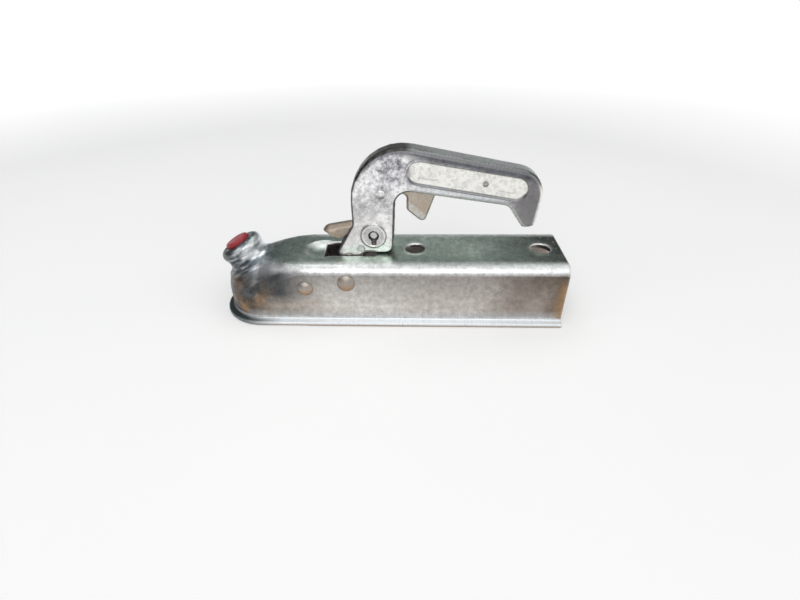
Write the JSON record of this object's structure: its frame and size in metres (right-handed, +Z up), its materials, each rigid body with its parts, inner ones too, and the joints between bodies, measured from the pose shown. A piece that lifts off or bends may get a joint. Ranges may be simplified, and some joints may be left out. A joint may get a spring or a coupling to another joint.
{
  "type": "trailer coupling head",
  "caption": "Pressed steel trailer coupling head with ball socket, drawbar channel, lever handle with squeeze catch, and a hinged jaw worked by a cam.",
  "frame": {"origin": "centre of the ball in the socket", "axes": "+X runs back along the drawbar, +Z is up, out through the two bolt holes"},
  "size_m": [0.251, 0.068, 0.1199],
  "materials": {
    "zinc_body": "bright zinc plated pressed steel",
    "zinc_handle": "bright zinc plated pressed steel, mottled",
    "zinc_rivet": "zinc plated, domed",
    "catch_steel": "satin zinc plated steel",
    "jaw_steel": "bright zinc plated pressed steel",
    "cam_steel": "plain steel, lightly oiled",
    "spring_steel": "dark spring steel",
    "bush_brass": "plain turned brass",
    "red_plug": "red moulded plastic"
  },
  "bodies": {
    "housing": {"body_shell": "zinc_body", "nose_plug": "red_plug", "jaw_rivet": "zinc_rivet", "lever_rivet": "zinc_rivet", "jaw_bush_left": "bush_brass", "jaw_bush_right": "bush_brass", "lever_spacer_left": "bush_brass", "lever_spacer_right": "bush_brass", "return_spring": "spring_steel"},
    "handle": {"handle_shell": "zinc_handle", "handle_bush": "bush_brass", "cam_plate_left": "cam_steel", "cam_plate_right": "cam_steel", "cam_washer_left": "cam_steel", "cam_washer_right": "cam_steel", "cam_rivet_upper": "cam_steel", "cam_rivet_lower": "cam_steel", "handle_pin": "cam_steel", "catch_rivet": "zinc_rivet"},
    "catch": {"catch_lever": "catch_steel", "catch_bush": "bush_brass", "catch_spring": "spring_steel"},
    "jaw": {"jaw_shell": "jaw_steel", "jaw_backing_plate": "cam_steel", "jaw_sleeve": "bush_brass"}
  },
  "joints": [
    {"name": "handle_lift", "type": "hinge", "parent": "housing", "child": "handle", "pos_m": [0.0643, 0, 0.017], "axis": [0, -1, 0], "range_deg": [0, 32], "stiffness_Nm_per_rad": 0.8, "springref_deg": -17.19},
    {"name": "jaw_swing", "type": "hinge", "parent": "housing", "child": "jaw", "pos_m": [0.035, 0, 0.0126], "axis": [0, -1, 0], "range_deg": [0, 15.2], "deforming": ["return_spring"]},
    {"name": "catch_squeeze", "type": "hinge", "parent": "handle", "child": "catch", "pos_m": [0.0892, 0, 0.0732], "axis": [0, -1, 0], "range_deg": [0, 8], "stiffness_Nm_per_rad": 0.3, "springref_deg": -17.19, "deforming": ["catch_spring"]}
  ],
  "couplings": [
    {"joint": "jaw_swing", "follows": "handle_lift", "ratio": 0.47}
  ]
}
